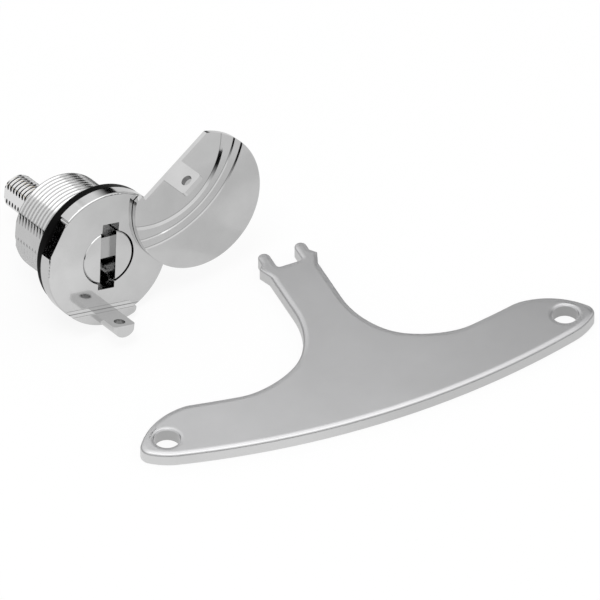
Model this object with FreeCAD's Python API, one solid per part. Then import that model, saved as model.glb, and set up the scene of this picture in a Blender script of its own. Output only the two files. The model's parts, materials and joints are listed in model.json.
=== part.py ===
import FreeCAD, Part
import math
import os

# Padlockable quarter-turn enclosure lock with its swing cover open, and the loose two-pronged key.
# Millimetres. The table is Z = 0, the key's bow runs along X and its fork points to +Y.
# The lock lies on the table on its flange's rear rim and on the rear edge of its barrel.

V = FreeCAD.Vector

# Fits
running_gap = 0.05
seat_gap = 0.05
swing_gap = 0.25

# Flange
flange_overhang = 4.7
flange_taper = 0.1
flange_thickness = 4.2
flange_edge = 0.5
thumb_flat_angle = 155.4
thumb_flat_depth = 0.8
thumb_groove_radius = 0.55
thumb_groove_angle = 138.0

# Threaded barrel with two flats
barrel_radius = 14.8
barrel_flat = 13.85
barrel_length = 22.3
barrel_chamfer = 0.5
barrel_relief_depth = 0.9
barrel_relief_past_gasket = 0.6

# Hollows of the housing
face_wall = 4.0
key_room_radius = 10.9
key_room_depth = 4.5
bore_radius = 11.6
entry_hole_radius = 8.25
entry_slot_width = 5.3
entry_slot_length = 19.9
entry_slot_shift = 0.4

# Ledge and padlock tabs
ledge_width = 3.8
ledge_height = 2.2
ledge_inset = 0.1
ledge_cut = 2.33
ledge_corner = 1.6
tab_shift = -0.6
tab_width = 7.1
tab_reach = 11.8
tab_corner = 1.0
padlock_hole_radius = 1.6
padlock_hole_height = 8.9

# Swing cover
cover_overhang = 0.7
cover_to_ledge = 1.7
cover_lens_thickness = 1.5
cover_risers = ((22.4, -1.4, 0.45, 0.9), (30.0, 1.1, 0.3, 0.4), (33.2, 3.6, 0.25, 0.5))
cover_tab_thickness = 1.6
cover_edge_round = 0.35
cover_lug_gap = 1.3
cover_lug_reach = 1.7
cover_open_angle = 137.2

# Pivot of the cover
pivot_inset = 3.4
pivot_angle = 5.2
pivot_radius = 1.5
pivot_depth_in_cover = 1.7
pivot_head_radius = 2.0
pivot_head_height = 0.8
pivot_washer_thickness = 0.4

# Rotor that the key turns
rotor_nose_radius = 7.95
rotor_nose_set_back = 0.15
rotor_slot_width = 5.0
rotor_slot_depth = 10.4
rotor_slot_reach = 9.4
rotor_post_half_length = 3.2
rotor_post_set_back = 5.7
collar_length = 8.05
rotor_boss_radius = 6.0
rotor_rest_turn = 3.0
rotor_travel = 90.0
rotor_edge = 0.3

# Detents in the collar
detent_count = 2
detent_from_rear = 1.75
detent_ball_radius = 1.4
detent_hole_radius = 1.5
detent_hole_floor = 5.6
detent_dimple_radius = 1.6
detent_dimple_depth = 0.7
detent_wire_radius = 0.2
detent_coils = 3.0
detent_places = 4

# Quarter-turn stops
stop_lug_half_angle = 14.0
stop_lug_to_washers = 0.4
stop_lug_outer_radius = 11.2
stop_lug_height = 1.9
stop_pillar_angle = 19.0
stop_play = 0.5

# Seal rings
rotor_ring_wire = 0.8
rotor_ring_from_front = 2.4
ring_groove_width = 1.8
ring_squeeze = 0.05
spindle_ring_wire = 0.5
spindle_ring_from_rear = 0.8
spindle_groove_width = 1.1

# Washers behind the collar
washer_bore_gap = 0.1
washer_outer_radius = 8.5
thrust_washer_thickness = 0.6
disc_spring_thickness = 0.5
disc_spring_height = 1.45
disc_spring_gap = 0.4

# Rear bush, its dowel and its retaining ring
bush_wall = 2.45
bush_dowel_radius = 0.75
bush_dowel_set_back = 1.4
bush_dowel_angle = 180.0
retaining_ring_thickness = 1.0
retaining_ring_depth = 1.0
retaining_ring_width = 2.1
retaining_ring_groove = 0.8
retaining_ring_mouth = 26.0
retaining_ring_eye = 2.3
retaining_ring_eye_hole = 0.7
retaining_ring_mouth_angle = 270.0

# Spindle with its cam stud
spindle_radius = 5.0
spindle_flat = 4.0
spindle_square = 7.0
spindle_square_length = 4.4
stud_length = 21.9
stud_chamfer = 0.8
stud_neck_radius = 3.9
stud_neck_length = 1.0
drive_pin_radius = 1.0
drive_pin_from_end = 2.3

# Panel gasket
gasket_inset = 0.6
gasket_thickness = 3.2
gasket_bore_gap = 0.1
gasket_round = 0.9

# Key
key_thickness = 4.0
key_hole_spacing = 120.8
key_hole_radius = 3.6
key_hole_rise = 7.44
key_hole_bevel = 0.3
key_front_y = -12.7
key_front_end_inset = 0.4
key_front_radius = 226.0
key_end = ((7.0, -3.55), (7.6, 0.85), (-8.9, 10.15), (-11.5, 9.95))
key_neck = ((35.55, 10.25), (29.15, 10.2), (18.05, 14.1), (11.7, 20.2))
key_stem_half_width = 7.35
key_stem_end_y = 51.2
fork_ear = (8.8, 3.7)
fork_gap = 7.7
fork_floor_rise = 2.5
fork_floor_corner = 1.0
prong_root = (7.3, 5.6)
prong_shoulder_rise = 7.7
prong_tip = (5.6, 9.4)
key_top_round = 0.9
key_edge_round = 0.4
key_edge_break = 0.3

# Pose of the lock beside the key, seen as it lies on the table
lock_x = -52.0
lock_y = 60.8
lock_heading = 9.1
lock_roll = -13.4

# Sizes that follow the barrel and its flange
flange_radius = barrel_radius + flange_overhang
flange_rear_radius = flange_radius - flange_taper
ledge_radius = flange_radius - ledge_inset
cover_radius = flange_radius + cover_overhang
gasket_radius = flange_rear_radius - gasket_inset
pivot_offset = flange_radius - pivot_inset
ledge_chord = ledge_radius - ledge_width
ledge_end = math.sqrt(ledge_radius ** 2 - ledge_chord ** 2) - ledge_cut
cover_chord = ledge_chord - cover_to_ledge
cover_lug_start = ledge_end + cover_lug_gap

# The key's front curve ends below each hole, and the rounded end is drawn about the hole
key_front_end_x = key_hole_spacing / 2 - key_front_end_inset
key_front_centre_y = key_front_y + key_front_radius
key_front_end_y = key_front_centre_y - math.sqrt(key_front_radius ** 2 - key_front_end_x ** 2)
key_hole_centre = V(key_hole_spacing / 2, key_front_end_y + key_hole_rise, 0)

# Radii behind the collar
washer_inner_radius = rotor_boss_radius + washer_bore_gap
stop_lug_inner_radius = washer_outer_radius + stop_lug_to_washers

# Levels along the lock's axis, measured from the face towards the rear
barrel_rear = flange_thickness + barrel_length
relief_rear = flange_thickness + gasket_thickness + barrel_relief_past_gasket
ring_rear = barrel_rear - retaining_ring_depth
ring_front = ring_rear - retaining_ring_thickness
bush_rear = ring_front - seat_gap
boss_rear = bush_rear - bush_wall
collar_front = face_wall + key_room_depth + seat_gap
collar_rear = collar_front + collar_length
bush_front = collar_rear + thrust_washer_thickness + disc_spring_height + disc_spring_gap
bush_dowel_length = bush_rear - bush_front - bush_dowel_set_back
detent_level = collar_rear - detent_from_rear
stud_end = barrel_rear + stud_length
cover_back = swing_gap
cover_lens_top = cover_back + cover_lens_thickness
cover_top = cover_lens_top + sum(rise for radius, apex, rise, run in cover_risers)
pivot_point = V(pivot_offset * math.cos(math.radians(pivot_angle)),
                pivot_offset * math.sin(math.radians(pivot_angle)), 0)
reach = 2 * (flange_radius + stud_end)


# Shapes from plain geometry
def turned(points):
    """Solid of revolution about the lock's axis from (radius, level) points."""
    outline = [V(radius, 0, level) for radius, level in points]
    face = Part.Face(Part.makePolygon(outline + outline[:1]))
    return face.revolve(V(0, 0, 0), V(0, 0, 1), 360)


def disc(radius, low, high, centre=V(0, 0, 0)):
    return Part.makeCylinder(radius, high - low, V(centre.x, centre.y, low))


def ring(inner, outer, low, high):
    return disc(outer, low, high).cut(disc(inner, low, high))


def block(low, high):
    size = high - low
    return Part.makeBox(size.x, size.y, size.z, low)


def sector(inner, outer, low, high, start, end):
    """Piece of a ring between two angles in degrees."""
    a, m, b = (math.radians(angle) for angle in (start, (start + end) / 2, end))

    def at(radius, angle):
        return V(radius * math.cos(angle), radius * math.sin(angle), low)

    edges = [
        Part.Arc(at(outer, a), at(outer, m), at(outer, b)).toShape(),
        Part.makeLine(at(outer, b), at(inner, b)),
        Part.Arc(at(inner, b), at(inner, m), at(inner, a)).toShape(),
        Part.makeLine(at(inner, a), at(outer, a)),
    ]
    return Part.Face(Part.Wire(edges)).extrude(V(0, 0, high - low))


def tab_plate(width, low, high, corner, back, front):
    """Upright plate with two rounded upper corners, between two levels of y."""
    left, right = tab_shift - width / 2, tab_shift + width / 2
    lean = corner * (1 - math.sqrt(0.5))
    edges = [
        Part.makeLine(V(left, back, low), V(right, back, low)),
        Part.makeLine(V(right, back, low), V(right, back, high - corner)),
        Part.Arc(V(right, back, high - corner), V(right - lean, back, high - lean),
                 V(right - corner, back, high)).toShape(),
        Part.makeLine(V(right - corner, back, high), V(left + corner, back, high)),
        Part.Arc(V(left + corner, back, high), V(left + lean, back, high - lean),
                 V(left, back, high - corner)).toShape(),
        Part.makeLine(V(left, back, high - corner), V(left, back, low)),
    ]
    return Part.Face(Part.Wire(edges)).extrude(V(0, front - back, 0))


def padlock_hole():
    centre = V(tab_shift, -flange_radius - tab_width, padlock_hole_height)
    return Part.makeCylinder(padlock_hole_radius, 2 * tab_width + flange_radius, centre, V(0, 1, 0))


# Housing: flange, ledge with its padlock tab, and the threaded barrel
def barrel_outline(radius, flat, front, rear):
    """Round bar with a flat on its left and on its right."""
    bar = disc(radius, -rear, -front)
    return bar.common(block(V(-flat, -radius, -rear), V(flat, radius, -front)))


def flange_body():
    bow = flange_edge * (1 - math.sqrt(0.5))
    inner = flange_radius - flange_edge
    edges = [
        Part.makeLine(V(0, 0, 0), V(inner, 0, 0)),
        Part.Arc(V(inner, 0, 0), V(flange_radius - bow, 0, -bow),
                 V(flange_radius, 0, -flange_edge)).toShape(),
        Part.makeLine(V(flange_radius, 0, -flange_edge), V(flange_rear_radius, 0, -flange_thickness)),
        Part.makeLine(V(flange_rear_radius, 0, -flange_thickness), V(0, 0, -flange_thickness)),
        Part.makeLine(V(0, 0, -flange_thickness), V(0, 0, 0)),
    ]
    body = Part.Face(Part.Wire(edges)).revolve(V(0, 0, 0), V(0, 0, 1), 360)
    return body.cut(thumb_flat()).cut(thumb_groove())


def thumb_flat():
    """Wedge that leaves a flat parallel to the flange's tapered side."""
    side = flange_radius - thumb_flat_depth
    drop = flange_thickness + ledge_height
    lean = (flange_radius - flange_rear_radius) / (flange_thickness - flange_edge)
    profile = [V(side, 0, ledge_height), V(side + reach, 0, ledge_height),
               V(side + reach, 0, -flange_thickness), V(side - lean * drop, 0, -flange_thickness)]
    cutter = Part.Face(Part.makePolygon(profile + profile[:1])).extrude(V(0, flange_radius, 0))
    cutter.translate(V(0, -flange_radius / 2, 0))
    cutter.translate(V(lean * ledge_height, 0, 0))
    cutter.rotate(V(0, 0, 0), V(0, 0, 1), thumb_flat_angle)
    return cutter


def thumb_groove():
    groove = disc(thumb_groove_radius, -flange_thickness, ledge_height, V(flange_radius, 0, 0))
    groove.rotate(V(0, 0, 0), V(0, 0, 1), thumb_groove_angle)
    return groove


def ledge():
    """Raised segment below the cover's chord, cut short where the cover's lug passes."""
    body = disc(ledge_radius, -flange_edge, ledge_height)
    keep = block(V(-flange_radius, -flange_radius, -flange_edge), V(ledge_end, -ledge_chord, ledge_height))
    body = body.common(keep)
    corner = [edge for edge in body.Edges
              if abs(edge.BoundBox.XLength) < 1e-6 and abs(edge.BoundBox.YLength) < 1e-6
              and abs(edge.BoundBox.Center.x - ledge_end) < 1e-6
              and edge.BoundBox.Center.y < -ledge_chord - 1e-3]
    return body.makeFillet(ledge_corner, corner)


def hasp_tab():
    """Padlock tab with a flat top and a half-round underside."""
    half = tab_width / 2
    plate = tab_plate(tab_width, -flange_edge, tab_reach, tab_corner, -ledge_chord - half, -ledge_chord)
    under = Part.makeCylinder(half, tab_reach + flange_edge, V(tab_shift, -ledge_chord, -flange_edge))
    return plate.common(under)


def housing():
    body = flange_body().fuse([ledge(), hasp_tab()])
    barrel = barrel_outline(barrel_radius, barrel_flat, flange_thickness - flange_edge, barrel_rear)
    relief_radius = barrel_radius - barrel_relief_depth
    tip = turned([(0, -barrel_rear), (barrel_radius - barrel_chamfer, -barrel_rear),
                  (barrel_radius, -barrel_rear + barrel_chamfer), (barrel_radius, -relief_rear),
                  (relief_radius, -relief_rear), (relief_radius, 0), (0, 0)])
    body = body.fuse(barrel.common(tip))
    entry = disc(entry_hole_radius, -face_wall, ledge_height)
    half_length = entry_slot_length / 2
    slot = block(V(-entry_slot_width / 2, entry_slot_shift - half_length, -face_wall),
                 V(entry_slot_width / 2, entry_slot_shift + half_length, ledge_height))
    room = disc(key_room_radius, -face_wall - key_room_depth, -face_wall)
    bore = disc(bore_radius, -barrel_rear, -face_wall - key_room_depth)
    body = body.cut([entry, slot, room, bore, padlock_hole(), ring_groove_cut(), dowel_hole()])
    body = body.cut([dimple for dimple in detent_dimples()])
    return body.cut([pivot_hole(), pivot_counterbore()]).removeSplitter()


def ring_groove_cut():
    return disc(bore_radius + retaining_ring_groove, -ring_rear - seat_gap, -ring_front)


def dowel_hole():
    centre = V(bore_radius * math.cos(math.radians(bush_dowel_angle)),
               bore_radius * math.sin(math.radians(bush_dowel_angle)), 0)
    return disc(bush_dowel_radius + running_gap, -bush_rear, -bush_rear + bush_dowel_length + seat_gap, centre)


def detent_dimples():
    centre_radius = bore_radius + detent_dimple_depth - detent_dimple_radius
    dimples = []
    for place in range(detent_places):
        angle = math.radians(90 + rotor_rest_turn + place * 360 / detent_places)
        centre = V(centre_radius * math.cos(angle), centre_radius * math.sin(angle), -detent_level)
        dimples.append(Part.makeSphere(detent_dimple_radius, centre))
    return dimples


def pivot_hole():
    return disc(pivot_radius + running_gap, -flange_thickness, 0, pivot_point)


def pivot_counterbore():
    depth = pivot_head_height + pivot_washer_thickness + 2 * seat_gap
    return disc(pivot_head_radius + 2 * running_gap, -flange_thickness, -flange_thickness + depth, pivot_point)


# Gasket between the flange and the panel
def panel_gasket():
    """Flat ring whose rim is rounded towards the panel."""
    rear = -flange_thickness - gasket_thickness
    body = disc(gasket_radius, rear, -flange_thickness)
    body = body.makeFillet(gasket_round, edges_at(body, rear))
    hole = barrel_outline(barrel_radius + gasket_bore_gap, barrel_flat + gasket_bore_gap,
                          flange_thickness, flange_thickness + gasket_thickness)
    return body.cut(hole)


# Rotor and what turns with it
def rotor():
    collar_radius = bore_radius - running_gap
    body = turned([
        (0, -rotor_nose_set_back), (rotor_nose_radius - rotor_edge, -rotor_nose_set_back),
        (rotor_nose_radius, -rotor_nose_set_back - rotor_edge), (rotor_nose_radius, -collar_front),
        (collar_radius, -collar_front), (collar_radius, -collar_rear),
        (rotor_boss_radius, -collar_rear), (rotor_boss_radius, -boss_rear), (0, -boss_rear)])
    half = rotor_slot_width / 2
    slot = block(V(-half, -rotor_slot_reach, -rotor_slot_depth), V(half, rotor_slot_reach, 0))
    post = block(V(-half, -rotor_post_half_length, -rotor_slot_depth),
                 V(half, rotor_post_half_length, -rotor_post_set_back))
    body = body.cut(slot.cut(post))
    body = body.cut(ring(rotor_ring_floor(), bore_radius, -collar_front - rotor_ring_from_front
                         - ring_groove_width, -collar_front - rotor_ring_from_front))
    body = body.fuse(stop_lug())
    body = body.cut([spindle_square_block(running_gap), drive_pin_hole()] + detent_holes())
    return body.removeSplitter()


def rotor_ring_floor():
    return bore_radius - 2 * rotor_ring_wire - ring_squeeze


def seal_ring(centre_radius, wire_radius, level):
    """Ring of round wire, drawn with eight sides."""
    corners = [math.radians(22.5 + 45 * index) for index in range(8)]
    return turned([(centre_radius + wire_radius * math.cos(corner), level + wire_radius * math.sin(corner))
                   for corner in corners])


def rotor_seal():
    centre = bore_radius - ring_squeeze - rotor_ring_wire
    level = -collar_front - rotor_ring_from_front - ring_groove_width / 2
    return seal_ring(centre, rotor_ring_wire - ring_squeeze / 2, level)


def stop_lug():
    return sector(stop_lug_inner_radius, stop_lug_outer_radius, -collar_rear - stop_lug_height, -collar_rear,
                  270 - stop_lug_half_angle, 270 + stop_lug_half_angle)


def detent_angle(index):
    return 90 + index * 360 / detent_count


def detent_line(index, start, length, radius):
    """Radial bar in the collar, from a radius outwards."""
    angle = math.radians(detent_angle(index))
    out = V(math.cos(angle), math.sin(angle), 0)
    return Part.makeCylinder(radius, length, out * start + V(0, 0, -detent_level), out)


def detent_holes():
    return [detent_line(index, detent_hole_floor, bore_radius, detent_hole_radius)
            for index in range(detent_count)]


def ball_centre_radius():
    return bore_radius - 3 * running_gap - detent_ball_radius


def detent_ball(index):
    angle = math.radians(detent_angle(index))
    out = V(math.cos(angle), math.sin(angle), 0)
    return Part.makeSphere(detent_ball_radius, out * ball_centre_radius() + V(0, 0, -detent_level))


def detent_spring(index):
    """Flat-wire coil between the floor of its hole and the ball."""
    length = ball_centre_radius() - detent_ball_radius - detent_hole_floor - 2 * seat_gap
    coil_radius = detent_hole_radius - detent_wire_radius - 2 * running_gap
    rise = length - 2 * detent_wire_radius
    path = Part.makeHelix(rise / detent_coils, rise, coil_radius)
    inner, outer = coil_radius - detent_wire_radius, coil_radius + detent_wire_radius
    corners = [V(inner, 0, -detent_wire_radius), V(outer, 0, -detent_wire_radius),
               V(outer, 0, detent_wire_radius), V(inner, 0, detent_wire_radius)]
    wire = Part.makePolygon(corners + corners[:1])
    coil = path.makePipeShell([wire], True, True)
    coil.translate(V(0, 0, detent_hole_floor + seat_gap + detent_wire_radius))
    coil.rotate(V(0, 0, 0), V(0, 1, 0), 90)
    coil.rotate(V(0, 0, 0), V(0, 0, 1), detent_angle(index))
    coil.translate(V(0, 0, -detent_level))
    return coil


def spindle_square_block(gap):
    half = spindle_square / 2 + gap
    return block(V(-half, -half, -boss_rear), V(half, half, -boss_rear + spindle_square_length + gap))


def drive_pin_level():
    return -boss_rear + drive_pin_from_end


def drive_pin_hole():
    return Part.makeCylinder(drive_pin_radius, 2 * bore_radius, V(-bore_radius, 0, drive_pin_level()), V(1, 0, 0))


def drive_pin():
    half = rotor_boss_radius - running_gap
    return Part.makeCylinder(drive_pin_radius, 2 * half, V(-half, 0, drive_pin_level()), V(1, 0, 0))


def spindle():
    """Square tang, round shank, and cam stud with a neck and one flat."""
    neck_rear = barrel_rear + stud_neck_length
    shank = turned([(0, -boss_rear), (spindle_radius, -boss_rear),
                    (spindle_radius, -barrel_rear), (stud_neck_radius, -barrel_rear),
                    (stud_neck_radius, -neck_rear), (spindle_radius, -neck_rear),
                    (spindle_radius, -stud_end + stud_chamfer),
                    (spindle_radius - stud_chamfer, -stud_end), (0, -stud_end)])
    flat = block(V(-2 * spindle_radius, -2 * spindle_radius, -stud_end),
                 V(-spindle_flat, 2 * spindle_radius, -barrel_rear))
    tang = spindle_square_block(0)
    return tang.fuse(shank.cut(flat)).cut(drive_pin_hole()).removeSplitter()


def thrust_washer():
    return ring(washer_inner_radius, washer_outer_radius,
                -collar_rear - thrust_washer_thickness, -collar_rear)


def disc_spring():
    """Cone washer that pushes the rotor forward against the shoulder of the bore."""
    front = -collar_rear - thrust_washer_thickness
    rear = front - disc_spring_height
    return turned([(washer_inner_radius, front), (washer_inner_radius, front - disc_spring_thickness),
                   (washer_outer_radius, rear), (washer_outer_radius, rear + disc_spring_thickness)])


# Rear end of the barrel
def rear_bush():
    radius = bore_radius - running_gap
    body = disc(radius, -bush_rear, -bush_front)
    pillar_start = 270 + stop_lug_half_angle + stop_play
    pillar_end = 270 - stop_lug_half_angle - rotor_travel - stop_play
    top = -collar_rear - 2 * seat_gap
    pillars = [
        sector(stop_lug_inner_radius, stop_lug_outer_radius, -bush_front, top,
               pillar_start, pillar_start + stop_pillar_angle),
        sector(stop_lug_inner_radius, stop_lug_outer_radius, -bush_front, top,
               pillar_end - stop_pillar_angle, pillar_end),
    ]
    for pillar in pillars:
        pillar.rotate(V(0, 0, 0), V(0, 0, 1), rotor_rest_turn)
    body = body.fuse(pillars)
    boss_room = disc(rotor_boss_radius + 2 * running_gap, -boss_rear - seat_gap, -bush_front)
    shank_hole = disc(spindle_radius + running_gap, -bush_rear, -bush_front)
    groove_rear = -bush_rear + spindle_ring_from_rear
    groove = disc(spindle_ring_room(), groove_rear, groove_rear + spindle_groove_width)
    return body.cut([boss_room, shank_hole, groove, dowel_hole()]).removeSplitter()


def spindle_ring_room():
    return spindle_radius + 2 * spindle_ring_wire + ring_squeeze


def spindle_seal():
    level = -bush_rear + spindle_ring_from_rear + spindle_groove_width / 2
    centre = spindle_radius + ring_squeeze + spindle_ring_wire
    return seal_ring(centre, spindle_ring_wire - ring_squeeze / 2, level)


def bush_dowel():
    angle = math.radians(bush_dowel_angle)
    centre = V(bore_radius * math.cos(angle), bore_radius * math.sin(angle), 0)
    return disc(bush_dowel_radius, -bush_rear, -bush_rear + bush_dowel_length, centre)


def retaining_ring():
    """Internal ring with an open mouth between two eyes."""
    outer = bore_radius + retaining_ring_groove - seat_gap
    body = ring(outer - retaining_ring_width, outer, -ring_rear, -ring_front)
    mouth = sector(outer / 4, 2 * outer, -ring_rear, -ring_front,
                   retaining_ring_mouth_angle - retaining_ring_mouth / 2,
                   retaining_ring_mouth_angle + retaining_ring_mouth / 2)
    body = body.cut(mouth)
    eye_centre = bore_radius - running_gap - retaining_ring_eye
    lean = retaining_ring_mouth / 2 + math.degrees(retaining_ring_eye / eye_centre)
    for side in (-1, 1):
        angle = math.radians(retaining_ring_mouth_angle + side * lean)
        centre = V(eye_centre * math.cos(angle), eye_centre * math.sin(angle), 0)
        body = body.fuse(disc(retaining_ring_eye, -ring_rear, -ring_front, centre))
        body = body.cut(disc(retaining_ring_eye_hole, -ring_rear, -ring_front, centre))
    return body.removeSplitter()


# Swing cover, drawn closed
def rounded_disc(radius, low, high, corner):
    """Disc whose upper rim is rounded."""
    lean = corner * (1 - math.sqrt(0.5))
    edges = [
        Part.makeLine(V(0, 0, low), V(radius, 0, low)),
        Part.makeLine(V(radius, 0, low), V(radius, 0, high - corner)),
        Part.Arc(V(radius, 0, high - corner), V(radius - lean, 0, high - lean),
                 V(radius - corner, 0, high)).toShape(),
        Part.makeLine(V(radius - corner, 0, high), V(0, 0, high)),
        Part.makeLine(V(0, 0, high), V(0, 0, low)),
    ]
    return Part.Face(Part.Wire(edges)).revolve(V(0, 0, 0), V(0, 0, 1), 360)


def cover():
    """Disc with a straight chord, a low lens beside it and three sloped steps along arcs."""
    body = rounded_disc(cover_radius, cover_back, cover_top, cover_edge_round)
    level = cover_lens_top
    for radius, apex, rise, run in cover_risers:
        depth = cover_top - level
        wide_radius = radius + run * depth / rise
        body = body.cut(Part.makeCone(radius, wide_radius, depth, V(0, apex - radius, level)))
        level += rise
    lug_room = block(V(-cover_radius, -cover_radius, cover_back), V(cover_lug_start, -cover_chord, cover_top))
    below_lug = block(V(-cover_radius, -cover_radius, cover_back),
                      V(cover_radius, -cover_chord - cover_lug_reach, cover_top))
    tab = tab_plate(tab_width, cover_back, tab_reach, tab_corner,
                    -cover_chord, -cover_chord + cover_tab_thickness)
    body = body.cut([lug_room, below_lug]).fuse(tab)
    seat = disc(pivot_radius, cover_back, cover_back + pivot_depth_in_cover, pivot_point)
    return body.cut([padlock_hole(), seat]).removeSplitter()


def pivot_pin():
    """Headed pin from behind the flange, pressed into the cover."""
    head_low = -flange_thickness + seat_gap
    head = disc(pivot_head_radius, head_low, head_low + pivot_head_height, pivot_point)
    shank = disc(pivot_radius, head_low, cover_back + pivot_depth_in_cover, pivot_point)
    return head.fuse(shank).removeSplitter()


def pivot_washer():
    low = -flange_thickness + seat_gap + pivot_head_height
    washer = ring(pivot_radius + running_gap, pivot_head_radius, low, low + pivot_washer_thickness)
    washer.translate(pivot_point)
    return washer


# Key
def key_side_edges():
    """Arcs from the front curve round the end and up the neck, each tangent to the last."""
    heading = math.asin(key_front_end_x / key_front_radius)
    point = V(key_front_end_x, key_front_end_y, 0)
    knots = [key_hole_centre + V(x, y, 0) for x, y in key_end] + [V(x, y, 0) for x, y in key_neck]
    edges, point, heading = tangent_arcs(point, heading, knots)
    edges += [arc_to_upright(point, heading, key_stem_half_width, math.pi / 2)]
    return edges


def tangent_arcs(point, heading, knots):
    edges = []
    for target in knots:
        chord = math.atan2(target.y - point.y, target.x - point.x)
        edges.append(tangent_arc(point, heading, target))
        heading, point = 2 * chord - heading, target
    return edges, point, heading


def tangent_arc(point, heading, target):
    """Arc that leaves a point along a heading and ends at a target."""
    run = target - point
    chord = math.atan2(run.y, run.x)
    bulge = run.Length / 2 * math.tan((chord - heading) / 2)
    middle = (point + target) / 2 + V(math.sin(chord), -math.cos(chord), 0) * bulge
    return Part.Arc(point, middle, target).toShape()


def arc_to_upright(point, heading, x, final_heading):
    """Arc that ends parallel to Y at a given x."""
    chord = (heading + final_heading) / 2
    target = V(x, point.y + (x - point.x) * math.tan(chord), 0)
    return tangent_arc(point, heading, target)


def key_half_outline():
    """Edges of the key's right half, from the front round the end and up to the fork's floor."""
    edges = key_side_edges()
    neck_top = edges[-1].Vertexes[-1].Point
    stem_end = V(0, key_stem_end_y, 0)
    stem_top = stem_end + V(key_stem_half_width, 0, 0)
    ear, root, tip = (stem_end + V(x, y, 0) for x, y in (fork_ear, prong_root, prong_tip))
    shoulder = stem_end + V(prong_root[0], prong_shoulder_rise, 0)
    half_gap = fork_gap / 2
    floor_y = key_stem_end_y + fork_floor_rise
    tip_heading = 2 * math.atan2(tip.y - shoulder.y, tip.x - shoulder.x) - math.pi / 2
    inner = arc_to_upright(tip, tip_heading, half_gap, 3 * math.pi / 2)
    inner_top = inner.Vertexes[-1].Point
    floor_top = V(half_gap, floor_y + fork_floor_corner, 0)
    floor_end = V(half_gap - fork_floor_corner, floor_y, 0)
    return edges + [
        Part.makeLine(neck_top, stem_top),
        Part.makeLine(stem_top, ear),
        Part.makeLine(ear, root),
        Part.makeLine(root, shoulder),
        tangent_arc(shoulder, math.pi / 2, tip),
        inner,
        Part.makeLine(inner_top, floor_top),
        tangent_arc(floor_top, 3 * math.pi / 2, floor_end),
    ]


def key_outline():
    right = key_half_outline()
    left = [edge.mirror(V(0, 0, 0), V(1, 0, 0)) for edge in right]
    start = right[0].Vertexes[0].Point
    front = Part.Arc(V(-start.x, start.y, 0), V(0, key_front_y, 0), V(start.x, start.y, 0)).toShape()
    floor_end = right[-1].Vertexes[-1].Point
    floor = Part.makeLine(V(floor_end.x, floor_end.y, 0), V(-floor_end.x, floor_end.y, 0))
    return Part.Wire(Part.__sortEdges__([front] + right + [floor] + left))


def fork_key():
    """Flat two-pronged key with a curved bow and a hanging hole at each end."""
    body = Part.Face(key_outline()).extrude(V(0, 0, key_thickness))
    top = edges_at(body, key_thickness)
    fork_level = key_stem_end_y - key_top_round
    bow = [edge for edge in top if edge.BoundBox.YMax < fork_level]
    body = body.makeFillet(key_top_round, bow)
    fork = [edge for edge in edges_at(body, key_thickness) if edge.BoundBox.YMax > key_stem_end_y + key_edge_round]
    body = body.makeFillet(key_edge_round, fork)
    body = body.makeChamfer(key_edge_break, edges_at(body, 0))
    for side in (-1, 1):
        centre = V(side * key_hole_centre.x, key_hole_centre.y, 0)
        body = body.cut(disc(key_hole_radius, 0, key_thickness, centre))
        bevel = Part.makeCone(key_hole_radius, key_hole_radius + key_hole_bevel, key_hole_bevel,
                              V(centre.x, centre.y, key_thickness - key_hole_bevel))
        body = body.cut(bevel)
    return body


def edges_at(body, level):
    return [edge for edge in body.Edges
            if abs(edge.BoundBox.ZMin - level) < 1e-6 and abs(edge.BoundBox.ZMax - level) < 1e-6]


# Assembly
def lock_placement():
    """Matrix from the lock's own frame to the table: it rests on its flange's rear rim and barrel edge."""
    run = barrel_rear - barrel_chamfer - flange_thickness
    tilt = math.atan2(flange_rear_radius - barrel_radius, run)
    heading, roll = math.radians(lock_heading), math.radians(lock_roll)
    level_out = V(math.sin(heading), -math.cos(heading), 0)
    out = level_out * math.cos(tilt) + V(0, 0, math.sin(tilt))
    right_level = V(0, 0, 1).cross(out).normalize()
    up_level = out.cross(right_level)
    up = up_level * math.cos(roll) + out.cross(up_level) * math.sin(roll)
    right = up.cross(out)
    height = flange_rear_radius * math.cos(tilt) + flange_thickness * math.sin(tilt)
    return FreeCAD.Matrix(right.x, up.x, out.x, lock_x, right.y, up.y, out.y, lock_y,
                          right.z, up.z, out.z, height, 0, 0, 0, 1)


def opened(shape):
    """Swing a closed cover piece to where it stands open."""
    shape.rotate(pivot_point, V(0, 0, 1), -cover_open_angle)
    return shape


def turned_with_rotor(shape):
    shape.rotate(V(0, 0, 0), V(0, 0, 1), rotor_rest_turn)
    return shape


def lock_pieces():
    fixed = {
        "housing": housing(), "panel_gasket": panel_gasket(), "rear_bush": rear_bush(),
        "bush_dowel": bush_dowel(), "retaining_ring": retaining_ring(), "spindle_seal": spindle_seal(),
    }
    turning = {
        "rotor": rotor(), "rotor_seal": rotor_seal(), "thrust_washer": thrust_washer(),
        "disc_spring": disc_spring(), "drive_pin": drive_pin(), "spindle": spindle(),
    }
    for index, side in enumerate(("upper", "lower")):
        turning["detent_ball_" + side] = detent_ball(index)
        turning["detent_spring_" + side] = detent_spring(index)
    swinging = {"cover": cover(), "pivot_pin": pivot_pin(), "pivot_washer": pivot_washer()}
    pieces = dict(fixed)
    pieces.update({name: turned_with_rotor(shape) for name, shape in turning.items()})
    pieces.update({name: opened(shape) for name, shape in swinging.items()})
    return pieces


def table_pieces():
    """Every piece in its place on the table, about the key's own centre."""
    matrix = lock_placement()
    pieces = {}
    for name, shape in lock_pieces().items():
        pieces[name] = placed(shape, matrix)
    pieces["fork_key"] = fork_key()
    return pieces


def placed(shape, matrix):
    moved = shape.copy()
    moved.Placement = FreeCAD.Placement(matrix).multiply(moved.Placement)
    return moved


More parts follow.
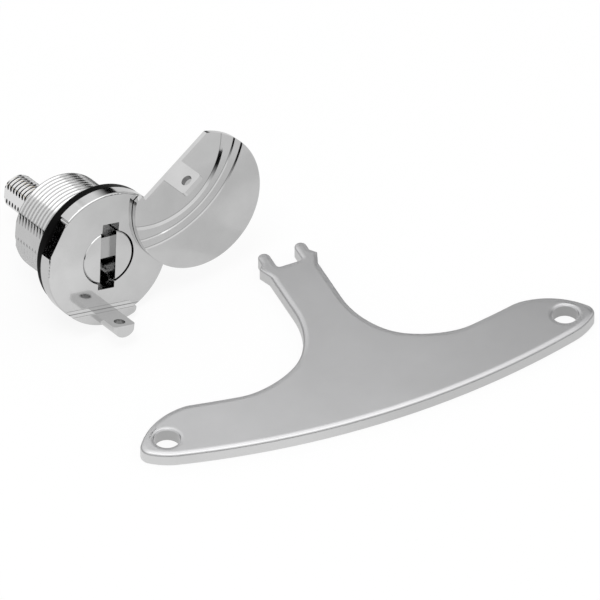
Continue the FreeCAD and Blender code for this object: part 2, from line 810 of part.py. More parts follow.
def footprint_centre(pieces):
    box = Part.makeCompound(list(pieces.values())).optimalBoundingBox(False)
    return V(box.Center.x, box.Center.y, box.ZMin)


def main():
    os.makedirs("parts", exist_ok=True)
    pieces = table_pieces()
    origin = footprint_centre(pieces)
    for name, shape in pieces.items():
        shape.translate(-origin)
        shape.exportStep("parts/" + name + ".step")
    print("origin in the key's frame", [round(value, 4) for value in origin])
    for name, shape in pieces.items():
        print(name, len(shape.Solids), shape.isValid(), round(shape.Volume, 2))


main()
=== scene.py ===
import json
import math

import bmesh
import bpy
from mathutils import Matrix, Vector


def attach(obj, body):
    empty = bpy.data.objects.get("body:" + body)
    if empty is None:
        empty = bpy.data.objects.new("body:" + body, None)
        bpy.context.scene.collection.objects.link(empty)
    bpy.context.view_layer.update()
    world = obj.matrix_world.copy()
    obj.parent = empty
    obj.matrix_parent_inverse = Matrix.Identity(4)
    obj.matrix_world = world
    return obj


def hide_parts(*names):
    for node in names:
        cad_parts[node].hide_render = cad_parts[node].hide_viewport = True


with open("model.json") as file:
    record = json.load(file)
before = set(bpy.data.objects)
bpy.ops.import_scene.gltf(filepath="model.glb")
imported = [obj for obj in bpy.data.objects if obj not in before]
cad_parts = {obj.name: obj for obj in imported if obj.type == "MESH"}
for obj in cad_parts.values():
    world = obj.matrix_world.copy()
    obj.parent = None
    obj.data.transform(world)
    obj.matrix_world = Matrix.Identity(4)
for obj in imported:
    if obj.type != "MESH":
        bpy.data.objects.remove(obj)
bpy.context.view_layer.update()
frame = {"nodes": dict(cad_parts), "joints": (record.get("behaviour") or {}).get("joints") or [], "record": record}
nodes = frame["nodes"]
joints = {joint["name"]: joint for joint in frame["joints"]}
mounts = {mount["name"]: mount for mount in frame["record"]["mounts"]}

# All lengths are in metres
millimetre = 0.001
tiny = 1e-6
weld_reach = 1e-7
thread_weld_reach = 2e-6
upward = Vector((0, 0, 1))

# The barrel and its thread, measured from the lock's face towards the rear
barrel_crest = 0.0148
barrel_flat = 0.01385
barrel_thread_front = 0.0080
barrel_rear = 0.0265
barrel_thread_depth = 0.00085
barrel_thread_pitch = 0.0015
barrel_crest_share = 0.3
barrel_thread_inside = 0.0125
barrel_steps_around = 241
casting_cut_front = barrel_thread_front - 0.0001
casting_cut_radius = 0.0134
casting_core = 0.0132

# The stud and its thread, measured the same way
stud_crest = 0.005
stud_flat = 0.004
stud_round_side = 1.0
stud_rear = 0.0484
stud_thread_front = 0.0270
stud_thread_depth = 0.00081
stud_thread_pitch = 0.0015
stud_crest_share = 0.4
stud_thread_inside = 0.003
stud_steps_around = 121
shank_cut_front = 0.02649
shank_cut_radius = 0.0035
shank_core = 0.0036

# Both threads: four rows follow each turn, at the crest's two edges and the root's two edges
rows_a_turn = 4.0
rows_at_the_ends = 5.0
root_start_share = 0.42
root_width_share = 0.18

# The ledge below the face, and the hasp that stands on it
ledge_chord = 0.0156
ledge_height = 0.0022
ledge_edge_round = 0.0003
hasp_shift = -0.0006
hasp_half_width = 0.00355

# The cover: how far it stands open from shut, and each riser's radius and highest point
pivot_lean = math.radians(5.2)
cover_turn = math.radians(137.2)
cover_steps = ((0.0224, -0.0014), (0.0300, 0.0011), (0.0332, 0.0036))
cover_underside = 0.0015

# The gasket as it lies in the photograph
gasket_radius = 0.0188
gasket_rim_width = 0.001
gasket_bulge = 0.00025
gasket_drift = 0.0003

# The key's soft upper edges, and its walls and holes, which carry painted light and painted shade
key_top = max(vertex.co.z for vertex in nodes["fork_key"].data.vertices)
key_roll_width = 0.001
key_roll_tilt = math.radians(15)
key_wall_gap = 0.0005
key_hole_margin = 0.0018
nearly_level = 0.99

# Marks of painted shade and painted highlight in the finishes: how wide they are and how far they reach past their
# faces
mark_margin = 0.00002
bore_margin = 0.000008
crease_half_width = 0.00014
riser_line_half_width = 0.00012
thread_flat_margin = 0.00005
root_mark_fade = 0.00005
barrel_root_limit = barrel_crest - 0.00032
barrel_root_lowest = -0.003
stud_root_limit = stud_crest - 0.00025
white = (1.0, 1.0, 1.0, 1.0)


# The lock's own frame: x to the pivot's side, y to the top of the face, z out of the face
def lock_frame():
    out = Vector(joints["rotor_turn"]["axis"]).normalized()
    centre = Vector(joints["rotor_turn"]["pos_m"])
    to_pivot = Vector(joints["cover_swing"]["pos_m"]) - centre
    to_pivot -= out * to_pivot.dot(out)
    right = Matrix.Rotation(-pivot_lean, 3, out) @ to_pivot.normalized()
    up = out.cross(right)
    matrix = Matrix((right, up, out)).transposed().to_4x4()
    matrix.translation = centre
    return matrix


lock_to_table = lock_frame()
table_to_lock = lock_to_table.inverted()


# Node trees
class Tree:
    """Adds nodes to a tree and wires them as they are made."""

    def __init__(self, tree):
        self.tree = tree

    def add(self, kind, inputs=None, **settings):
        node = self.tree.nodes.new(kind)
        for name, value in settings.items():
            setattr(node, name, value)
        for key, value in (inputs or {}).items():
            self.feed(node.inputs[key], value)
        return node

    def feed(self, socket, value):
        if isinstance(value, bpy.types.NodeSocket):
            self.tree.links.new(value, socket)
        else:
            socket.default_value = value

    def math(self, operation, *values, clamp=False):
        inputs = dict(enumerate(values))
        node = self.add("ShaderNodeMath", inputs, operation=operation, use_clamp=clamp)
        return node.outputs[0]

    def vector(self, operation, first, second):
        node = self.add("ShaderNodeVectorMath", {0: first, 1: second}, operation=operation)
        return node.outputs["Value" if operation in ("DOT_PRODUCT", "DISTANCE") else "Vector"]

    def length(self, vector):
        node = self.add("ShaderNodeVectorMath", {0: vector}, operation="LENGTH")
        return node.outputs["Value"]


# Meshes
def new_object(name, data):
    """Object at the origin, unturned, in the scene."""
    made = bpy.data.objects.new(name, data)
    bpy.context.scene.collection.objects.link(made)
    return made


def finished_piece(name, mesh, material, sharp_angle):
    """Welds and smooths a mesh, gives it its material, and makes an object of it."""
    work = bmesh.new()
    work.from_mesh(mesh)
    bmesh.ops.remove_doubles(work, verts=work.verts, dist=tiny)
    bmesh.ops.dissolve_degenerate(work, edges=work.edges, dist=tiny)
    bmesh.ops.recalc_face_normals(work, faces=work.faces)
    for face in work.faces:
        face.smooth = True
    work.to_mesh(mesh)
    work.free()
    mesh.set_sharp_from_angle(angle=math.radians(sharp_angle))
    mesh.materials.clear()
    mesh.materials.append(material)
    mesh.name = name
    return new_object(name, mesh)


def welded_copy(source):
    """Editable copy of a mesh, its doubled points joined."""
    work = bmesh.new()
    work.from_mesh(source)
    bmesh.ops.remove_doubles(work, verts=work.verts, dist=weld_reach)
    return work


def slimmed_copy(node, name, material, front, outside, core):
    """Copy of a node with its own shading, its outer wall behind a front drawn in to a core."""
    source = nodes[node].data
    shading = [Vector(corner.vector) for corner in source.corner_normals]
    mesh = bpy.data.meshes.new(name)
    work = welded_copy(source)
    work.to_mesh(mesh)
    work.free()
    for vertex in mesh.vertices:
        spot = table_to_lock @ vertex.co
        radius = math.hypot(spot.x, spot.y)
        if spot.z < -front and outside < radius:
            spot.x *= core / radius
            spot.y *= core / radius
            vertex.co = lock_to_table @ spot
    mesh.normals_split_custom_set(shading)
    mesh.materials.clear()
    mesh.materials.append(material)
    return new_object(name, mesh)


# Threads: a grid whose rows follow the helix, wrapped round the axis and closed inside. Its first
# and last rows meet inside at the front, and the row before the last is inside at the rear.
def thread_tree(name, material):
    group = bpy.data.node_groups.new(name, "GeometryNodeTree")
    group.interface.new_socket("Thread", in_out="OUTPUT", socket_type="NodeSocketGeometry")
    sockets = {}
    for label in ("Start", "Length", "Crest Radius", "Depth", "Pitch", "Crest Share", "Core Radius",
                  "Left Flat", "Right Flat"):
        socket = group.interface.new_socket(label, in_out="INPUT", socket_type="NodeSocketFloat")
        sockets[label] = socket.identifier
    for label in ("Turns", "Steps Around"):
        socket = group.interface.new_socket(label, in_out="INPUT", socket_type="NodeSocketInt")
        sockets[label] = socket.identifier
    tree = Tree(group)
    given = tree.add("NodeGroupInput").outputs
    length = given["Length"]
    crest = given["Crest Radius"]
    crest_share = given["Crest Share"]

    # The flat grid: one row for each edge of the thread, one step for each part of a turn
    rows = tree.math("ADD", tree.math("MULTIPLY", given["Turns"], rows_a_turn), rows_at_the_ends)
    last_row = tree.math("SUBTRACT", rows, 1.0)
    grid = tree.add("GeometryNodeMeshGrid", {"Size X": 1.0, "Size Y": 1.0, "Vertices X": rows,
                                             "Vertices Y": given["Steps Around"]})
    position = tree.add("GeometryNodeInputPosition").outputs[0]
    place = tree.add("ShaderNodeSeparateXYZ", {0: position}).outputs
    along = tree.math("MULTIPLY", tree.math("ADD", place["X"], 0.5), last_row)
    row = tree.math("ROUND", along)
    around = tree.math("ADD", place["Y"], 0.5)
    angle = tree.math("MULTIPLY", around, math.tau)

    # How far along the axis a point of the helix is
    step = tree.math("SUBTRACT", row, 1.0)
    turn = tree.math("FLOOR", tree.math("DIVIDE", step, rows_a_turn))
    part = tree.math("SUBTRACT", step, tree.math("MULTIPLY", turn, rows_a_turn))
    share = tree.add("GeometryNodeIndexSwitch", data_type="FLOAT")
    share.index_switch_items.new()
    share.index_switch_items.new()
    root_start = tree.math("ADD", tree.math("MULTIPLY", crest_share, 0.5), root_start_share)
    root_end = tree.math("ADD", root_start, root_width_share)
    for index, value in enumerate((0.0, crest_share, root_start, root_end)):
        tree.feed(share.inputs[index + 1], value)
    tree.feed(share.inputs[0], part)
    turned = tree.math("ADD", turn, share.outputs[0])
    phase = tree.math("ADD", turned, tree.math("SUBTRACT", around, 1.0))
    travel = tree.math("MULTIPLY", phase, given["Pitch"])
    level = tree.math("MAXIMUM", 0.0, tree.math("MINIMUM", travel, length))

    # How far from the axis it is: at the crest or in the root, and bevelled at both ends
    root = tree.math("SUBTRACT", crest, given["Depth"])
    in_root = tree.math("GREATER_THAN", part, 1.5)
    radius = tree.math("SUBTRACT", crest, tree.math("MULTIPLY", in_root, given["Depth"]))
    to_end = tree.math("SUBTRACT", length, level)
    radius = tree.math("MINIMUM", radius, tree.math("ADD", root, to_end))
    radius = tree.math("MINIMUM", radius, tree.math("ADD", root, level))

    # The rows inside
    is_first = tree.math("LESS_THAN", row, 0.5)
    is_last = tree.math("GREATER_THAN", row, tree.math("SUBTRACT", last_row, 0.5))
    is_inner_end = tree.math("GREATER_THAN", row, tree.math("SUBTRACT", last_row, 1.5))
    inner = tree.math("MAXIMUM", is_first, is_inner_end)
    outer = tree.math("SUBTRACT", 1.0, inner)
    inner_radius = tree.math("MULTIPLY", given["Core Radius"], inner)
    radius = tree.math("ADD", tree.math("MULTIPLY", radius, outer), inner_radius)
    not_front = tree.math("SUBTRACT", 1.0, tree.math("MAXIMUM", is_first, is_last))
    end_level = tree.math("MULTIPLY", length, tree.math("MULTIPLY", inner, not_front))
    level = tree.math("ADD", tree.math("MULTIPLY", level, outer), end_level)

    # Bent round the axis, with the flats cut off
    across = tree.math("MULTIPLY", radius, tree.math("COSINE", angle))
    height = tree.math("MULTIPLY", radius, tree.math("SINE", angle))
    across = tree.math("MINIMUM", across, given["Right Flat"])
    across = tree.math("MAXIMUM", across, tree.math("MULTIPLY", given["Left Flat"], -1.0))
    back = tree.math("MULTIPLY", tree.math("ADD", level, given["Start"]), -1.0)
    spot = tree.add("ShaderNodeCombineXYZ", {0: across, 1: height, 2: back}).outputs[0]
    bent = tree.add("GeometryNodeSetPosition", {"Geometry": grid.outputs["Mesh"], "Position": spot})
    joined = tree.add("GeometryNodeMergeByDistance", {"Geometry": bent.outputs[0],
                                                      "Distance": thread_weld_reach})
    real = tree.add("GeometryNodeRealizeInstances", {"Geometry": joined.outputs[0]})
    dressed = tree.add("GeometryNodeSetMaterial", {"Geometry": real.outputs[0],
                                                   "Material": material})
    tree.add("NodeGroupOutput", {0: dressed.outputs[0]})
    return group, sockets


def turns_over(front, rear, pitch):
    """Whole turns that cover a thread's length, and one more because it starts slanted."""
    return math.ceil((rear - front) / pitch) + 1


def thread_piece(name, material, sizes, sharp_angle):
    group, sockets = thread_tree(name + "_tree", material)
    seed = new_object(name + "_seed", bpy.data.meshes.new(name + "_seed"))
    modifier = seed.modifiers.new(name, "NODES")
    modifier.node_group = group
    for label, value in sizes.items():
        modifier[sockets[label]] = value
    bpy.context.view_layer.update()
    graph = bpy.context.evaluated_depsgraph_get()
    mesh = bpy.data.meshes.new_from_object(seed.evaluated_get(graph))
    bpy.data.objects.remove(seed)
    mesh.transform(lock_to_table)
    return finished_piece(name, mesh, material, sharp_angle)


# Parts of a finish
def surface(name):
    material = bpy.data.materials.new(name)
    material.use_nodes = True
    tree = Tree(material.node_tree)
    shader = material.node_tree.nodes["Principled BSDF"]
    place = tree.add("ShaderNodeTexCoord").outputs["Object"]
    return material, tree, shader, place


def grey(tone):
    return (tone, tone, tone)


def noise(tree, place, scale, detail=3.0, roughness=0.55):
    node = tree.add("ShaderNodeTexNoise", {"Vector": place, "Scale": scale, "Detail": detail,
                                           "Roughness": roughness})
    return node.outputs["Fac"]


def ramp(tree, value, start, end, low, high):
    node = tree.add("ShaderNodeMapRange", {"Value": value, "From Min": start, "From Max": end,
                                           "To Min": low, "To Max": high})
    return node.outputs["Result"]


def spread(tree, value, low, high):
    """Noise spread over a range. Most of it lies between a quarter and three quarters."""
    return ramp(tree, value, 0.25, 0.75, low, high)


def blend(tree, share, under, tone):
    """One tone laid over another: all of it where the share is 1."""
    node = tree.add("ShaderNodeMix", data_type="RGBA")
    tree.feed(node.inputs[0], share)
    tree.feed(node.inputs[6], under)
    node.inputs[7].default_value = (*tone, 1.0)
    return node.outputs[2]


def bump(tree, height, strength, distance):
    node = tree.add("ShaderNodeBump", {"Height": height, "Strength": strength,
                                       "Distance": distance})
    return node.outputs["Normal"]


# Measures for the marks of painted light and shade
def along_lock(tree, place, axis):
    """Place along a lock's axis: 0 to the pivot's side, 1 to the top, 2 out of the face."""
    direction = lock_to_table.col[axis].to_3d()
    product = tree.vector("DOT_PRODUCT", place, direction)
    return tree.math("SUBTRACT", product, lock_to_table.translation.dot(direction))


def hypotenuse(tree, across, height):
    squares = tree.math("ADD", tree.math("MULTIPLY", across, across),
                        tree.math("MULTIPLY", height, height))
    return tree.math("SQRT", squares)


# Where the marks of painted light and shade lie: 1 on the mark and 0 elsewhere
def painted_shade_in_bore(mount):
    """Painted shade on the wall of a mount's drilled hole: no further from its axis than its own radius."""
    centre = Vector(mounts[mount]["pos_m"])
    axis = Vector(mounts[mount]["axis"]).normalized()
    reach = mounts[mount]["dims"]["r_mm"] * millimetre + bore_margin

    def where(tree, place):
        away = tree.vector("SUBTRACT", place, centre)
        distance = tree.length(tree.vector("CROSS_PRODUCT", away, axis))
        return tree.math("LESS_THAN", distance, reach)

    return where


def on_key_wall(tree, place):
    """The key's cut walls, which the nickel finish paints with light: a lighter tone than the top."""
    height = tree.add("ShaderNodeSeparateXYZ", {"Vector": place}).outputs["Z"]
    return tree.math("LESS_THAN", height, key_top - key_wall_gap)


def painted_shade_in_key_hole(side):
    """Painted shade on the wall of one of the key's two holes, found along the line between the key's far ends."""
    spots = [vertex.co for vertex in nodes["fork_key"].data.vertices]
    far_end = max(spots, key=lambda spot: (spot - spots[0]).length)
    near_end = max(spots, key=lambda spot: (spot - far_end).length)
    level = Vector((1, 1, 0))
    line = ((far_end - near_end) * level).normalized()
    holes = mounts["key_holes"]
    half_spacing = holes["dims"]["spacing_x_mm"] * millimetre / 2
    centre = Vector(holes["pos_m"]) + line * (side * half_spacing)
    reach = holes["dims"]["hole_r_mm"] * millimetre + key_hole_margin

    def where(tree, place):
        away = tree.vector("SUBTRACT", place, centre)
        distance = tree.length(tree.vector("MULTIPLY", away, level))
        near = tree.math("LESS_THAN", distance, reach)
        return tree.math("MULTIPLY", near, on_key_wall(tree, place))

    return where


def painted_shade_at_riser_foot(centre, radius):
    """Painted shade: a fine dark line along the foot of one of the cover's risers."""
    def where(tree, place):
        across = tree.math("SUBTRACT", along_lock(tree, place, 0), centre.x)
        height = tree.math("SUBTRACT", along_lock(tree, place, 1), centre.y)
        from_foot = tree.math("SUBTRACT", hypotenuse(tree, across, height), radius)
        near = tree.math("LESS_THAN", tree.math("ABSOLUTE", from_foot), riser_line_half_width)
        on_cover = tree.math("GREATER_THAN", along_lock(tree, place, 2), cover_underside)
        return tree.math("MULTIPLY", near, on_cover)

    return where


def painted_shade_in_thread_root(limit, flat, lowest):
    """Painted shade in the root of a thread: nearer to the axis than a limit, above a height, off the flats."""
    def where(tree, place):
        across = along_lock(tree, place, 0)
        height = along_lock(tree, place, 1)
        sink = tree.math("SUBTRACT", limit, hypotenuse(tree, across, height))
        deep = tree.math("DIVIDE", sink, root_mark_fade, clamp=True)
        off_flats = tree.math("LESS_THAN", tree.math("ABSOLUTE", across), flat - thread_flat_margin)
        high = tree.math("GREATER_THAN", height, lowest)
        return tree.math("MULTIPLY", deep, tree.math("MULTIPLY", off_flats, high))

    return where


def painted_highlight_on_ledge(tree, place):
    """Painted highlight: the top of the ledge's two arms beside the hasp, given a lighter tone."""
    height = along_lock(tree, place, 1)
    below = tree.math("LESS_THAN", height, -ledge_chord + mark_margin)
    above = tree.math("GREATER_THAN", height, -ledge_chord - mark_margin)
    in_front = tree.math("GREATER_THAN", along_lock(tree, place, 2), mark_margin)
    from_hasp = tree.math("ABSOLUTE", tree.math("SUBTRACT", along_lock(tree, place, 0), hasp_shift))
    on_arms = tree.math("GREATER_THAN", from_hasp, hasp_half_width)
    return tree.math("MULTIPLY", tree.math("MULTIPLY", below, above),
                     tree.math("MULTIPLY", in_front, on_arms))


def painted_shade_in_ledge_crease(tree, place):
    """Painted shade: fine dark lines where the ledge meets the face and along its front edge."""
    from_top = tree.math("ABSOLUTE", tree.math("ADD", along_lock(tree, place, 1), ledge_chord))
    level = along_lock(tree, place, 2)
    edge = ledge_height - ledge_edge_round
    from_edge = tree.math("ABSOLUTE", tree.math("SUBTRACT", level, edge))
    from_line = tree.math("MINIMUM", tree.math("ABSOLUTE", level), from_edge)
    return tree.math("LESS_THAN", tree.math("MAXIMUM", from_top, from_line), crease_half_width)


def turned_with_cover(spot):
    """A spot of the shut cover in the lock's frame, moved to where it is with the cover open."""
    pivot = table_to_lock @ Vector(joints["cover_swing"]["pos_m"])
    pivot.z = 0.0
    return pivot + Matrix.Rotation(-cover_turn, 3, "Z") @ (spot - pivot)


# Finishes
def metal_finish(name, dark, light, gloss, clouds, grains, grain_strength, grain_depth, marks=()):
    """Metal with clouds of tone, a fine grain in its gloss, and marks of painted light and shade in tones of their
    own.
    """
    material, tree, shader, place = surface(name)
    cloud = noise(tree, place, clouds)
    grain = noise(tree, place, grains, 4.0, 0.6)
    shader.inputs["Metallic"].default_value = 1.0
    tone = blend(tree, spread(tree, cloud, 0.0, 1.0), (*dark, 1.0), light)
    for where, mark_tone in marks:
        tone = blend(tree, where(tree, place), tone, grey(mark_tone))
    tree.feed(shader.inputs["Base Color"], tone)
    tree.feed(shader.inputs["Roughness"], spread(tree, grain, *gloss))
    tree.feed(shader.inputs["Normal"], bump(tree, grain, grain_strength, grain_depth))
    return material


def rubber_finish(name, dark, light, gloss):
    material, tree, shader, place = surface(name)
    dust = noise(tree, place, 900.0)
    tree.feed(shader.inputs["Base Color"], blend(tree, dust, (*dark, 1.0), light))
    tree.feed(shader.inputs["Roughness"], spread(tree, dust, *gloss))
    shader.inputs["Specular IOR Level"].default_value = 0.04
    tree.feed(shader.inputs["Normal"], bump(tree, dust, 0.2, 0.0001))
    return material


# Circles that the open cover's risers start at, each with a painted shade line
riser_foot_shades = []
for riser_radius, riser_apex in cover_steps:
    shut_centre = Vector((0.0, riser_apex - riser_radius, 0.0))
    riser_foot_shades.append(painted_shade_at_riser_foot(turned_with_cover(shut_centre), riser_radius))

# Chrome with a painted highlight on the ledge's arms, and painted shade in the ledge's creases, in both padlock
# bores and along the feet of the cover's risers
chrome = metal_finish(
    "polished_chrome", dark=grey(0.60), light=grey(0.66), gloss=(0.06, 0.12),
    clouds=120.0, grains=700.0, grain_strength=0.03, grain_depth=0.00004,
    marks=[(painted_highlight_on_ledge, 0.95), (painted_shade_in_ledge_crease, 0.4), (painted_shade_in_bore("padlock_hole"), 0.5),
           (painted_shade_in_bore("cover_padlock_hole"), 0.2)] + [(foot, 0.4) for foot in riser_foot_shades])
# Painted shade in the barrel thread's roots
cut_chrome = metal_finish(
    "cut_chrome", dark=grey(0.60), light=grey(0.66), gloss=(0.12, 0.2),
    clouds=120.0, grains=700.0, grain_strength=0.04, grain_depth=0.00003,
    marks=[(painted_shade_in_thread_root(barrel_root_limit, barrel_flat, barrel_root_lowest), 0.4)])
# Nickel with painted light on the key's walls, a lighter tone than its top, and painted shade on the walls of its
# two holes
nickel = metal_finish(
    "satin_nickel", dark=(0.52, 0.52, 0.525), light=(0.56, 0.56, 0.565), gloss=(0.3, 0.38),
    clouds=60.0, grains=2600.0, grain_strength=0.12, grain_depth=0.00003,
    marks=[(on_key_wall, 0.66), (painted_shade_in_key_hole(1), 0.42), (painted_shade_in_key_hole(-1), 0.42)])
steel = metal_finish(
    "plain_steel", dark=(0.50, 0.50, 0.51), light=(0.60, 0.60, 0.61), gloss=(0.18, 0.3),
    clouds=200.0, grains=1500.0, grain_strength=0.1, grain_depth=0.00003)
# Painted shade in the stud thread's roots
cut_steel = metal_finish(
    "cut_steel", dark=grey(0.84), light=grey(0.90), gloss=(0.08, 0.14),
    clouds=120.0, grains=700.0, grain_strength=0.04, grain_depth=0.00003,
    marks=[(painted_shade_in_thread_root(stud_root_limit, stud_flat, -stud_crest), 0.03)])
brass = metal_finish(
    "turned_brass", dark=(0.62, 0.46, 0.20), light=(0.74, 0.58, 0.30), gloss=(0.18, 0.32),
    clouds=200.0, grains=1500.0, grain_strength=0.1, grain_depth=0.00003)
rubber = rubber_finish("black_rubber", dark=grey(0.001), light=grey(0.003), gloss=(0.35, 0.45))

finish_of_slot = {"polished_chrome": chrome, "satin_nickel": nickel, "plain_steel": steel,
                  "turned_brass": brass, "black_rubber": rubber}
slot_of_node = {part["node"]: part["material_slot"] for part in frame["record"]["subparts"]}
for name, node in nodes.items():
    node.data.materials.clear()
    node.data.materials.append(finish_of_slot[slot_of_node[name]])

# Housing with its cut thread
casting = slimmed_copy("housing", "housing_casting", chrome, casting_cut_front, casting_cut_radius,
                       casting_core)
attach(casting, "lock_body")
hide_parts("housing")

barrel_thread = thread_piece("barrel_thread", cut_chrome, {
    "Start": barrel_thread_front, "Length": barrel_rear - barrel_thread_front,
    "Crest Radius": barrel_crest, "Depth": barrel_thread_depth, "Pitch": barrel_thread_pitch,
    "Crest Share": barrel_crest_share, "Core Radius": barrel_thread_inside,
    "Left Flat": barrel_flat, "Right Flat": barrel_flat,
    "Turns": turns_over(barrel_thread_front, barrel_rear, barrel_thread_pitch),
    "Steps Around": barrel_steps_around,
}, sharp_angle=75)
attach(barrel_thread, "lock_body")
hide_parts("housing")


# The key's top rolls off softly towards its edges, as polished sheet does
def corner_name(centre, spot):
    """Name of a face's corner by the face's middle and the corner's place."""
    return tuple(round(value / tiny) for value in (*centre, *spot))


def corner_shading(mesh):
    """The shading of each corner, by name."""
    shading = {}
    for face in mesh.polygons:
        for loop in face.loop_indices:
            spot = mesh.vertices[mesh.loops[loop].vertex_index].co
            name = corner_name(face.center, spot)
            shading[name] = Vector(mesh.corner_normals[loop].vector)
    return shading


def outward_at_rim(ring, flat):
    """The level direction out of the top, for each point of its rim."""
    outward = {}
    rim = [(face, edge) for face in ring for edge in face.edges
           if any(other not in flat for other in edge.link_faces)]
    for face, edge in rim:
        start, end = (vertex.co for vertex in edge.verts)
        side = (end - start).cross(upward).normalized()
        if side.dot((start + end) / 2 - face.calc_center_median()) <= 0:
            side = -side
        for vertex in edge.verts:
            outward[vertex.index] = outward.get(vertex.index, Vector()) + side
    return outward


def rolled_key():
    source = nodes["fork_key"].data
    kept = corner_shading(source)
    work = welded_copy(source)
    top = [face for face in work.faces
           if all(abs(vertex.co.z - key_top) < tiny for vertex in face.verts)]
    ring = bmesh.ops.inset_region(work, faces=top, use_boundary=True, use_even_offset=True,
                                  thickness=key_roll_width)["faces"]
    work.verts.index_update()
    flat = set(top) | set(ring)
    outward = outward_at_rim(ring, flat)
    shading = []
    for face in work.faces:
        for loop in face.loops:
            side = outward.get(loop.vert.index)
            from_cad = kept.get(corner_name(face.calc_center_median(), loop.vert.co), face.normal)
            if side is not None and (face in flat or from_cad.z > nearly_level):
                tilted = side.normalized() * math.sin(key_roll_tilt)
                shading.append(upward * math.cos(key_roll_tilt) + tilted)
            elif face in flat:
                shading.append(upward)
            else:
                shading.append(from_cad)
    mesh = bpy.data.meshes.new("rolled_key")
    work.to_mesh(mesh)
    work.free()
    mesh.normals_split_custom_set(shading)
    mesh.materials.append(nickel)
    return new_object("rolled_key", mesh)


key = rolled_key()
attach(key, "key")
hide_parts("fork_key")

# The key and the lock were photographed apart, so the key doesn't show in the lock's mirror faces
key.visible_glossy = False


# The panel gasket as it lies in the photograph, swollen and a little high on the barrel
def drifted_gasket():
    mesh = nodes["panel_gasket"].data.copy()
    for vertex in mesh.vertices:
        spot = table_to_lock @ vertex.co
        radius = math.hypot(spot.x, spot.y)
        if radius > gasket_radius - gasket_rim_width:
            spot.x *= (radius + gasket_bulge) / radius
            spot.y *= (radius + gasket_bulge) / radius
            spot.y += gasket_drift
            vertex.co = lock_to_table @ spot
    return finished_piece("swollen_gasket", mesh, rubber, sharp_angle=28)


gasket = drifted_gasket()
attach(gasket, "lock_body")
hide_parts("panel_gasket")

# Spindle with its stud thread
shank = slimmed_copy("spindle", "spindle_shank", steel, shank_cut_front, shank_cut_radius,
                     shank_core)
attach(shank, "rotor_group")
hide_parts("spindle")

stud_thread = thread_piece("stud_thread", cut_steel, {
    "Start": stud_thread_front, "Length": stud_rear - stud_thread_front,
    "Crest Radius": stud_crest, "Depth": stud_thread_depth, "Pitch": stud_thread_pitch,
    "Crest Share": stud_crest_share, "Core Radius": stud_thread_inside,
    "Left Flat": stud_flat, "Right Flat": stud_round_side,
    "Turns": turns_over(stud_thread_front, stud_rear, stud_thread_pitch),
    "Steps Around": stud_steps_around,
}, sharp_angle=28)
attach(stud_thread, "rotor_group")
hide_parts("spindle")


# Studio
def seen_directly(tree):
    """1 for what the camera, a mirror or a glass shows, 0 for light that falls on the object."""
    path = tree.add("ShaderNodeLightPath").outputs
    direct = tree.math("MAXIMUM", path["Is Camera Ray"], path["Is Glossy Ray"])
    return tree.math("MAXIMUM", direct, path["Is Transmission Ray"])


def studio_world():
    world = bpy.data.worlds.new("studio")
    world.use_nodes = True
    tree = Tree(world.node_tree)
    world.node_tree.nodes.clear()
    light = tree.add("ShaderNodeBackground", {"Color": white, "Strength": 0.75}).outputs[0]
    backdrop = tree.add("ShaderNodeBackground", {"Color": white, "Strength": 1.0}).outputs[0]
    mix = tree.add("ShaderNodeMixShader", {0: seen_directly(tree), 1: light, 2: backdrop})
    tree.add("ShaderNodeOutputWorld", {0: mix.outputs[0]})
    bpy.context.scene.world = world


def plane(name, half_width, half_height, place, facing):
    """Card about its own centre, its width level."""
    mesh = bpy.data.meshes.new(name)
    corners = [(-half_width, -half_height, 0), (half_width, -half_height, 0),
               (half_width, half_height, 0), (-half_width, half_height, 0)]
    mesh.from_pydata(corners, [], [(0, 1, 2, 3)])
    card = new_object(name, mesh)
    turned = Vector(facing).to_track_quat("Z", "Y").to_matrix().to_4x4()
    card.matrix_world = Matrix.Translation(place) @ turned
    return card


def floor_finish(middle, near, far, far_level, camera_level, glow_share):
    """Pale paper that glows a little. What a mirror sees of it dims away from the lock."""
    material, tree, shader, place = surface("pale_floor")
    paper = noise(tree, place, 40.0)
    tree.feed(shader.inputs["Base Color"], blend(tree, paper, (*grey(0.90), 1.0), grey(0.92)))
    shader.inputs["Roughness"].default_value = 0.9
    shader.inputs["Specular IOR Level"].default_value = 0.0
    falling = ramp(tree, tree.vector("DISTANCE", place, middle), near, far, 1.0, far_level)
    by_mirror = tree.add("ShaderNodeLightPath").outputs["Is Glossy Ray"]
    mirrored = tree.math("MULTIPLY", by_mirror, falling)
    direct = tree.math("MULTIPLY", tree.math("SUBTRACT", 1.0, by_mirror), camera_level)
    strength = tree.math("ADD", mirrored, direct)
    glow = tree.add("ShaderNodeEmission", {"Color": white, "Strength": strength}).outputs[0]
    share = tree.math("MULTIPLY", seen_directly(tree), glow_share)
    mix = tree.add("ShaderNodeMixShader", {0: share, 1: shader.outputs[0], 2: glow})
    tree.feed(material.node_tree.nodes["Material Output"].inputs["Surface"], mix.outputs[0])
    return material


def card_finish(name, direction, start, end, low, high):
    """Light that a mirror sees, graded along a direction of the card's own."""
    material = bpy.data.materials.new(name)
    material.use_nodes = True
    material.node_tree.nodes.clear()
    tree = Tree(material.node_tree)
    place = tree.add("ShaderNodeTexCoord").outputs["Object"]
    level = ramp(tree, tree.vector("DOT_PRODUCT", place, direction), start, end, low, high)
    glow = tree.add("ShaderNodeEmission", {"Color": white, "Strength": level})
    tree.add("ShaderNodeOutputMaterial", {0: glow.outputs[0]})
    return material


def show_to_mirrors_only(card, material):
    card.data.materials.append(material)
    card.visible_camera = False
    card.visible_diffuse = False
    card.visible_shadow = False
    card.visible_transmission = False


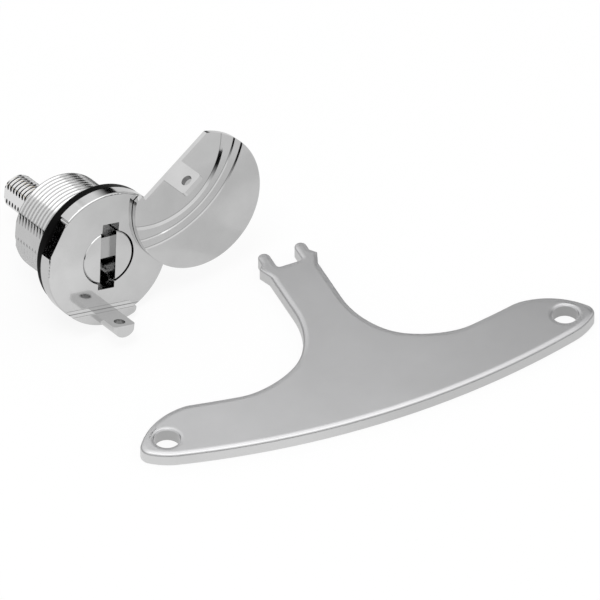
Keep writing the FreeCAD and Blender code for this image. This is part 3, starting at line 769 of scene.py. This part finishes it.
def horizon_wall(radius, height, start, end, low, high):
    """Dark band round the horizon that pales upwards, which only a mirror sees."""
    work = bmesh.new()
    bmesh.ops.create_cone(work, cap_ends=False, segments=96, radius1=radius, radius2=radius,
                          depth=height)
    mesh = bpy.data.meshes.new("horizon_wall")
    work.to_mesh(mesh)
    work.free()
    mesh.transform(Matrix.Translation(upward * height / 2))
    wall = new_object("horizon_wall", mesh)
    show_to_mirrors_only(wall, card_finish("horizon_dark", upward, start, end, low, high))


def lamp(name, place, size, power):
    data = bpy.data.lights.new(name, "AREA")
    data.shape = "DISK"
    data.size = size
    data.energy = power
    light = new_object(name, data)
    light.location = place
    light.rotation_euler = (-Vector(place)).to_track_quat("-Z", "Y").to_euler()


studio_world()
lamp("overhead_lamp", place=(-0.3, -0.2, 1.3), size=0.7, power=4.0)

# The floor stays unturned, so that its finish lies in the table's own axes
floor = plane("floor", half_width=6.0, half_height=6.0, place=Vector((0, 0, 0)), facing=(0, 0, 1))
floor.matrix_world = Matrix.Identity(4)
floor.data.materials.append(floor_finish(middle=(-0.06, -0.06, 0.0), near=0.035, far=0.068,
                                         far_level=0.8, camera_level=1.025, glow_share=0.85))

# What the chrome mirrors: a dark horizon, a bright ceiling and a graded card behind the lock
horizon_wall(radius=2.0, height=1.0, start=0.32, end=0.72, low=0.0, high=0.95)
back_card = plane("back_card", half_width=0.3, half_height=0.1,
                  place=Vector((0.139, 0.257, 0.303)), facing=(-0.31, -0.67, -0.67))
show_to_mirrors_only(back_card, card_finish("back_card", direction=(1.0, -2.6, 0), start=-0.118,
                                            end=0.182, low=1.2, high=0.0))
ceiling_card = plane("ceiling_card", half_width=0.5, half_height=0.5,
                     place=Vector((0.0, -0.15, 0.9)), facing=(0, 0, -1))
show_to_mirrors_only(ceiling_card, card_finish("ceiling_card", direction=(1, 0, 0), start=-0.5,
                                               end=0.5, low=1.9, high=1.9))

# Camera at the photograph's viewing angle
view_heading = math.radians(24.68)
view_height = math.radians(42.3)
view_distance = 3.0
look_at = Vector((-0.00045, -0.00528, 0.0))
look = Vector((math.sin(view_heading) * math.cos(view_height),
               math.cos(view_heading) * math.cos(view_height), -math.sin(view_height)))
camera_data = bpy.data.cameras.new("camera")
camera_data.sensor_width = 36.0
camera_data.lens = 648.0
camera_data.clip_start = 0.1
camera_data.clip_end = 20.0
camera = new_object("camera", camera_data)
camera.location = look_at - look * view_distance
camera.rotation_euler = (math.pi / 2 - view_height, 0.0, -view_heading)
bpy.context.scene.camera = camera
bpy.context.scene.view_settings.view_transform = "Standard"
